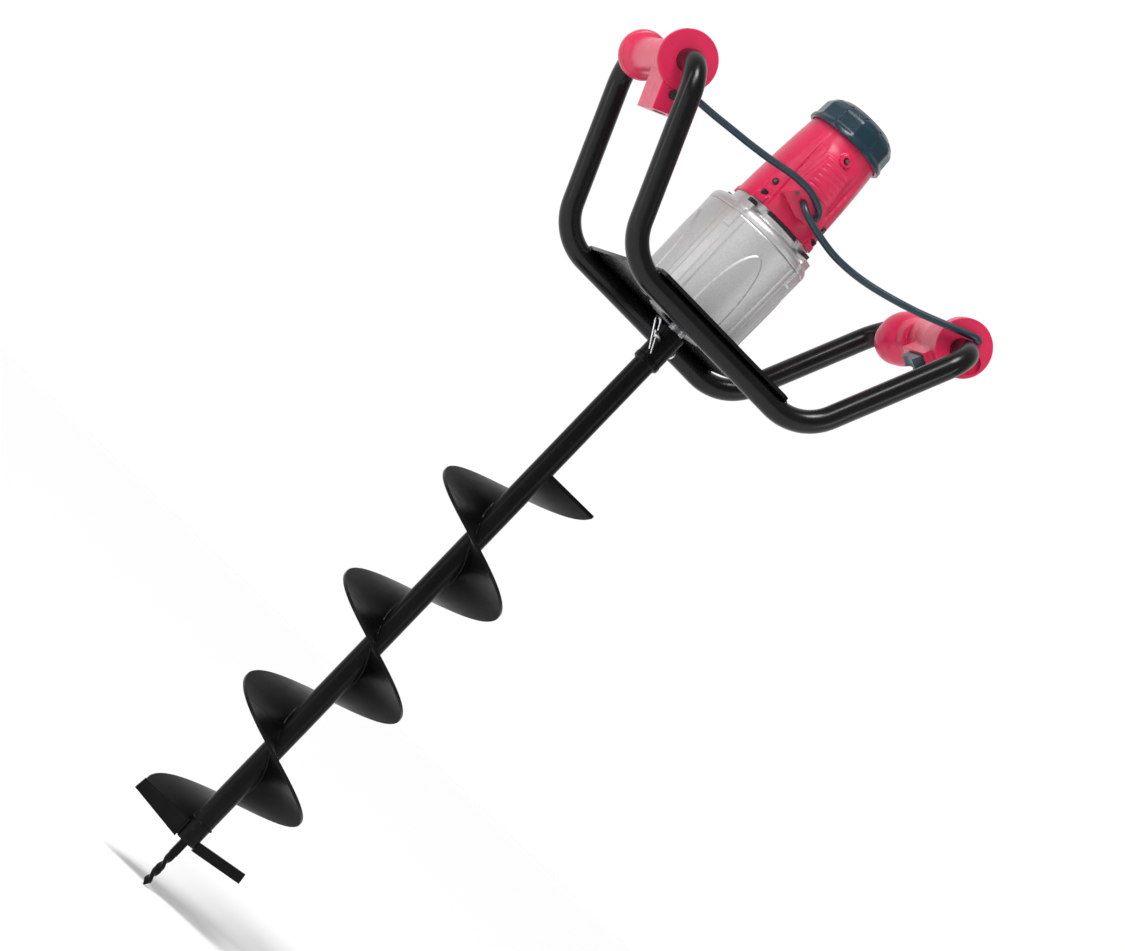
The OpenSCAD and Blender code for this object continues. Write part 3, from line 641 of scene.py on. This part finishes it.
def case_lift(r, z, turn):
    """Bolt columns with their bosses and ledges, and the arched pads of the gearbox's lower casting."""
    column_h = 1.5
    boss_h = 3.2
    ledge_h = 0.9
    pad_h = 1.1
    pad_half = 19.5
    arch_z = 846
    arch_rise = 70
    if r < 62:
        return r
    raised = 0.0
    for centre in CORNERS:
        gap = angle_gap(turn, centre)
        raised = max(raised, column_h * band(gap, 5.5, 1.0))
        raised = max(raised, boss_h * band(gap, 4.6, 1.4) * ease(z, 916, 919))
        raised = max(raised, ledge_h * band(gap, 11.5, 0.8))
    above = max(0.0, z - arch_z) / arch_rise
    half = pad_half * math.sqrt(max(0.0, 1 - above ** 2))
    if half > 1:
        for centre in SIDES:
            across = math.radians(angle_gap(turn, centre)) * r
            raised = max(raised, pad_h * band(across, half, 0.9))
    return r + raised


def make_gearbox():
    floor_z = CASE_Z + 8
    outer = densify([(36.0, CASE_Z), (60.5, CASE_Z), (62.8, CASE_Z + 0.6), (64.4, CASE_Z + 2.2),
                     (65.2, 870.0), (66.4, 934.8), (65.8, CASE_TOP)], 1.1)
    inner = [(61.5, CASE_TOP), (61.5, floor_z), (36.0, floor_z)]
    verts, faces = lathe(outer + inner, 420, (MOTOR_X, 0), case_lift)
    piece("gearbox_casting", verts, faces, "cast_alloy", "frame", angle=45, replaces=["gearbox_case"])
    nose = [(35.9, floor_z - 0.1), (17.0, floor_z - 0.1), (17.0, 813.0), (18.5, 811.0), (34.0, 811.0),
            (35.4, 811.6), (35.9, 813.0)]
    verts, faces = lathe(nose, 96, (MOTOR_X, 0))
    piece("gearbox_nose", verts, faces, "black_powder", "frame", replaces=["gearbox_case"])


def cover_lift(r, z, turn):
    """Lugs under the bolt heads, a squarish neck and the step under the front vent."""
    lug_r = 67.0
    raised = 0.0
    if r > 44.5:
        for centre in CORNERS:
            gap = angle_gap(turn, centre)
            if z < 953.2:
                lug = band(gap, 8.0, 1.6)
                raised = max(raised, (lug_r - r) * lug * ease(z, 941, 943))
                raised = max(raised, 2.2 * band(gap, 5.5, 1.0) * (1 - ease(z, 946, 950)))
            else:
                raised = max(raised, 3.2 * band(gap, 14.0, 5.0))
        if z > 949.5 and r > 48 and abs(angle_gap(turn, FRONT)) < 26:
            raised += 1.2 * (1 - ease(z, 957.0, 957.8))
            raised -= 2.6 * ease(z, 957.6, 958.2)
    return r + raised


def make_cover():
    foot = CASE_TOP + 0.3
    outer = densify([(61.5, foot), (65.9, foot), (66.6, 937.2), (66.4, 941.5), (65.4, 944.6), (63.2, 947.0),
                     (60.0, 948.4), (52.0, 949.2), (49.8, 949.8), (49.2, 951.0), (49.0, 957.0),
                     (49.0, COVER_TOP)], 0.8)
    inner = [(44.0, COVER_TOP), (44.0, 948.0), (12.0, 948.0), (12.0, 940.0), (61.5, 940.0)]
    verts, faces = lathe(outer + inner, 420, (MOTOR_X, 0), cover_lift)
    piece("gearbox_lid", verts, faces, "cast_alloy", "frame", angle=45, replaces=["gearbox_cover"])


# ---- mouldings by voxel remesh ----

def grip_matrix(side):
    turn = Matrix.Rotation(side * LEAN, 4, "Y")
    return Matrix.Translation(Vector((side * GRIP_HALF, 0, GRIP_Z)) * MM) @ turn


def add_cylinder(bm, axis, centre, r0, r1, length, segments=96):
    """A cylinder or cone in millimetres whose middle is at centre, with its axis along X, Y or Z."""
    turns = {"X": Matrix.Rotation(math.pi / 2, 4, "Y"),
             "Y": Matrix.Rotation(-math.pi / 2, 4, "X"),
             "Z": Matrix()}
    matrix = Matrix.Translation(Vector(centre) * MM) @ turns[axis]
    bmesh.ops.create_cone(bm, cap_ends=True, segments=segments, radius1=r0 * MM, radius2=r1 * MM,
                          depth=length * MM, matrix=matrix)


def add_span(bm, r0, r1, y0, y1, x=0.0, z=0.0):
    add_cylinder(bm, "Y", (x, (y0 + y1) / 2, z), r0, r1, y1 - y0)


def add_box(bm, low, high):
    size = [(b - a) * MM for a, b in zip(low, high)]
    middle = Vector([(a + b) / 2 * MM for a, b in zip(low, high)])
    bmesh.ops.create_cube(bm, size=1.0, matrix=Matrix.Translation(middle) @ Matrix.Diagonal((*size, 1.0)))


def add_ball(bm, centre, radii):
    matrix = Matrix.Translation(Vector(centre) * MM) @ Matrix.Diagonal((*[r * MM for r in radii], 1.0))
    bmesh.ops.create_uvsphere(bm, u_segments=64, v_segments=40, radius=1.0, matrix=matrix)


def bmesh_object(name, build):
    mesh = bpy.data.meshes.new(name)
    bm = bmesh.new()
    build(bm)
    bm.to_mesh(mesh)
    bm.free()
    made = bpy.data.objects.new(name, mesh)
    bpy.context.scene.collection.objects.link(made)
    return made


def apply_modifiers(made):
    graph = bpy.context.evaluated_depsgraph_get()
    graph.update()
    mesh = bpy.data.meshes.new_from_object(made.evaluated_get(graph))
    made.modifiers.clear()
    made.data = mesh


def carve(made, cuts):
    """Cuts plain shapes out of a piece, one after another; each cut is a shape function and its sizes."""
    for shape, *sizes in cuts:
        cutter = bmesh_object("cutter", lambda bm: shape(bm, *sizes))
        hole = made.modifiers.new("hole", "BOOLEAN")
        hole.operation = "DIFFERENCE"
        hole.solver = "MANIFOLD"
        hole.object = cutter
        apply_modifiers(made)
        bpy.data.objects.remove(cutter)


def moulding(name, build, cuts, side, voxel, rounds, replaces):
    """Joins plain shapes into one softened moulding, then cuts its holes with crisp edges."""
    made = bmesh_object(name, build)
    blend = made.modifiers.new("blend", "REMESH")
    blend.mode = "VOXEL"
    blend.voxel_size = voxel * MM
    soften = made.modifiers.new("soften", "SMOOTH")
    soften.factor = 0.5
    soften.iterations = rounds
    apply_modifiers(made)
    carve(made, cuts)
    made.data.transform(grip_matrix(side))
    return place(made, "red_plastic", "frame", angle=40, replaces=replaces)


def make_left_grip():
    def build(bm):
        add_span(bm, LEFT_DISC_R, LEFT_DISC_R, -GRIP_Y + 0.4, -GRIP_Y + 6.6)
        add_span(bm, 27, 20, -GRIP_Y + 6, -GRIP_Y + 14)
        add_span(bm, 19.6, 19.6, -GRIP_Y + 12, GRIP_Y - 10)
        add_span(bm, 20, 27, GRIP_Y - 18, GRIP_Y - 8)
        add_span(bm, 26.4, 26.4, GRIP_Y - 11, GRIP_Y - 8.6)
        add_span(bm, 27.6, 27.6, GRIP_Y - 7, GRIP_Y - 0.4)
        add_span(bm, 24.6, 24.6, GRIP_Y - 10, GRIP_Y - 2)

    cuts = [(add_span, GRIP_BORE_R, GRIP_BORE_R, -100, 100)]
    moulding("left_grip_moulding", build, cuts, -1, 0.9, 3, ["left_grip"])


def make_switch_box():
    def build(bm):
        add_box(bm, (-17.6, -GRIP_Y + 0.8, -58.6), (14.6, -28.8, -16))

    disc_room = LEFT_DISC_R + 0.2
    cuts = [(add_span, 19.9, 19.9, -GRIP_Y + 12, 0),
            (add_span, disc_room, disc_room, -100, -GRIP_Y + 7.2),
            (add_span, 27.4, 20.4, -GRIP_Y + 7.1, -GRIP_Y + 13.4),
            (add_cylinder, "Y", (-1.6, -GRIP_Y, -38.4), 5.0, 5.0, 5),
            (add_cylinder, "Y", (-12.8, -33, -53.4), 1.7, 1.7, 20, 32),
            (add_cylinder, "Z", (-1.6, -60, -58.8), 7.1, 7.1, 8, 64)]
    moulding("switch_box_moulding", build, cuts, -1, 0.8, 5, ["switch_box"])


def make_right_grip():
    def build(bm):
        add_span(bm, 32.6, 32.6, -GRIP_Y + 0.6, -GRIP_Y + 16, z=4)
        add_span(bm, 31, 25, -GRIP_Y + 15, -GRIP_Y + 25, z=2)
        add_span(bm, 25.4, 25.4, -GRIP_Y + 23, -34)
        add_span(bm, 25.4, 20.5, -35, 2)
        add_span(bm, 20, 20, 0, 60)
        add_span(bm, 20, 27, 26, 60, z=-7)
        add_ball(bm, (0, 60, -11), (30, 29, 32))
        add_ball(bm, (0, 63, -16), (27, 25, 29))
        add_box(bm, (-9, -74, -36), (9, -6, -6))
        add_ball(bm, (0, -14, 21), (9, 14, 6))

    cuts = [(add_span, GRIP_BORE_R, GRIP_BORE_R, -100, 110),
            (add_box, (-40, GRIP_Y, -70), (40, 120, 60)),
            (add_box, (-6.5, -68, -60), (6.5, -26, -15)),
            (add_cylinder, "Y", (17.5, -GRIP_Y + 1, 4), 12.5, 12.5, 10, 64),
            (add_box, (-32, -84, -3.5), (-25, -52, 3.5))]
    moulding("right_grip_moulding", build, cuts, 1, 0.9, 5, ["right_grip"])


def prism(name, near, far, rounding, matrix=Matrix()):
    """A solid between two outlines of equally many points, with its sharp edges rounded."""
    count = len(near)
    faces = [tuple(range(count)), tuple(range(2 * count - 1, count - 1, -1))]
    faces += [(k, (k + 1) % count, count + (k + 1) % count, count + k) for k in range(count)]
    mesh = bpy.data.meshes.new(name)
    mesh.from_pydata([tuple(c * MM for c in v) for v in near + far], [], faces)
    mesh.transform(matrix)
    made = bpy.data.objects.new(name, mesh)
    bpy.context.scene.collection.objects.link(made)
    soft = made.modifiers.new("edges", "BEVEL")
    soft.width = rounding * MM
    soft.segments = 3
    soft.limit_method = "ANGLE"
    soft.angle_limit = math.radians(30)
    apply_modifiers(made)
    return made


def make_trigger():
    half = 6.0
    outline = [(-66, -20), (-67, -28), (-67.2, -36), (-66.4, -44), (-64, -47.6), (-60, -47.4),
               (-55, -45.6), (-50, -44.2), (-45, -43.6), (-40, -44.0), (-35, -45.6), (-31, -47.0),
               (-29.2, -45.4), (-29, -36), (-28.6, -25), (-34, -22.5)]
    near, far = ([(x, y, z) for y, z in outline] for x in (-half, half))
    made = prism("trigger_blade", near, far, 1.4, grip_matrix(1))
    place(made, "navy_plastic", "trigger", angle=60, replaces=["right_trigger"])


def make_cable_block():
    """The raised wedge on the motor's front that both leads go into."""
    outline = [(-27, 984), (-13.5, 1003.5), (15, 1003.5), (26, 990), (27, 984), (22, 979), (0, 976)]
    slope_z = 986
    slope = 0.55

    def side(y, width):
        return [(MOTOR_X + width * x, y + slope * max(0.0, slope_z - z), z) for x, z in outline]

    made = prism("cable_wedge", side(-60.8, 1.0), side(-45.0, 0.98), 1.2)
    carve(made, [(add_cylinder, "Y", (8, -58, 988), 4.5, 4.5, 9, 48),
                 (add_cylinder, "Y", (-14, -58, 990), 4.5, 4.5, 9, 48),
                 (add_cylinder, "Y", (-26, -58, 993), 2.6, 2.6, 9, 32)])
    place(made, "red_plastic", "frame", angle=40, replaces=["cable_block"])


# ---- bit ----

def flight_mesh(turn_0, turn_1):
    """A left-handed stretch of flight with softly rounded outer edges."""
    steps = max(2, round((turn_1 - turn_0) * 96))
    half = FLIGHT_T / 2
    rim = [(BIT_ROOT_R, -half), (BIT_R - 0.8, -half), (BIT_R - 0.15, 0.7 - half),
           (BIT_R - 0.15, half - 0.7), (BIT_R - 0.8, half), (BIT_ROOT_R, half)]
    verts, faces = [], []
    for i in range(steps + 1):
        t = turn_0 + (turn_1 - turn_0) * i / steps
        a = math.radians(FLIGHT_START - 360 * t)
        z = FLIGHT_Z + half + PITCH * t
        verts += [(r * math.cos(a), r * math.sin(a), z + dz) for r, dz in rim]
    count = len(rim)
    for i in range(steps):
        for k in range(count):
            a, b = count * i + k, count * i + (k + 1) % count
            faces.append((a, b, b + count, a + count))
    faces.append(tuple(range(count)))
    faces.append(tuple(count * steps + k for k in range(count)))
    return verts, faces


def make_flights():
    ends = [(FLIGHT_FIRST, 0.998), (1, 1.998), (2, 2.998), (3, 3.587)]
    weld_end = 0.01
    weld_off = FLIGHT_T / 2 + 0.4
    for k, (low, high) in enumerate(ends, 1):
        verts, faces = flight_mesh(low, high)
        piece(f"flight_plate_{k}", verts, faces, "black_bit", "bit", angle=40, replaces=[f"flight_{k}"])
        count = round((high - low) * 150)
        for part, offset in (("top", weld_off), ("under", -weld_off)):
            points = []
            for i in range(count + 1):
                t = low + weld_end + (high - low - 2 * weld_end) * i / count
                a = math.radians(FLIGHT_START - 360 * t)
                z = FLIGHT_Z + FLIGHT_T / 2 + PITCH * t + offset
                points.append((BIT_WELD_R * math.cos(a), BIT_WELD_R * math.sin(a), z))
            bead(f"flight_weld_{part}_{k}", points, 1.5, "black_bit", "bit", 39 + k)


def make_pilot():
    """A flat bar with chamfered corners, twisted once between its point and its shank."""
    levels = 140
    top = 61.9
    twist_low = 2
    twist_length = 38
    shank_z = 44
    point_length = 7
    verts, faces = [], []
    corners = [(-1, -0.7), (-0.82, -1), (0.82, -1), (1, -0.7), (1, 0.7), (0.82, 1), (-0.82, 1), (-1, 0.7)]
    for i in range(levels + 1):
        z = top * i / levels
        twist = -TAU * min(1.0, max(0.0, (z - twist_low) / twist_length))
        grow = min(1.0, 0.1 + z / point_length)
        half_w = (4.75 if z > shank_z else 4.3) * grow
        half_t = 2.4 * grow
        for cx, cy in corners:
            x, y = cx * half_w, cy * half_t
            verts.append((x * math.cos(twist) - y * math.sin(twist),
                          x * math.sin(twist) + y * math.cos(twist), z))
    count = len(corners)
    for i in range(levels):
        for k in range(count):
            a, b = count * i + k, count * i + (k + 1) % count
            faces.append((a, b, b + count, a + count))
    faces.append(tuple(range(count)))
    faces.append(tuple(count * levels + k for k in range(count)))
    piece("pilot_bar", verts, faces, "black_bit", "bit", angle=30, replaces=["pilot_point"])


def make_hub_welds():
    """Beads round the hub's joint with the tube, and up both sides of the blades' roots."""
    hub_top = 88.0
    ring = [(BIT_WELD_R * math.cos(TAU * i / 60), BIT_WELD_R * math.sin(TAU * i / 60), hub_top)
            for i in range(61)]
    bead("hub_weld", ring, 1.3, "black_bit", "bit", 60)
    roots = [(0.0, -3.4, 62, 71), (0.0, 3.4, 62, 71), (BLADE_TURN, 4.8, 63, 82)]
    for k, (turn, offset, low, high) in enumerate(roots):
        a = math.radians(turn)
        x = BIT_ROOT_R * math.cos(a) - offset * math.sin(a)
        y = BIT_ROOT_R * math.sin(a) + offset * math.cos(a)
        points = [(x, y, low + (high - low) * i / 14) for i in range(15)]
        bead(f"blade_weld_{k}", points, 1.5, "black_bit", "bit", 70 + k)


# ---- build ----

make_camera()
make_lead("lead_left_cord", LEFT_ROUTE, "lead_left")
make_lead("lead_right_cord", RIGHT_ROUTE, "lead_right")
make_world()
make_lights()
make_floor()
finish_cad_nodes()
make_handles()
make_plate_welds()
make_motor_housing()
make_motor_cap()
make_housing_bolts()
make_vent()
make_gearbox()
make_cover()
make_cable_block()
make_left_grip()
make_switch_box()
make_right_grip()
make_trigger()
make_flights()
make_pilot()
make_hub_welds()
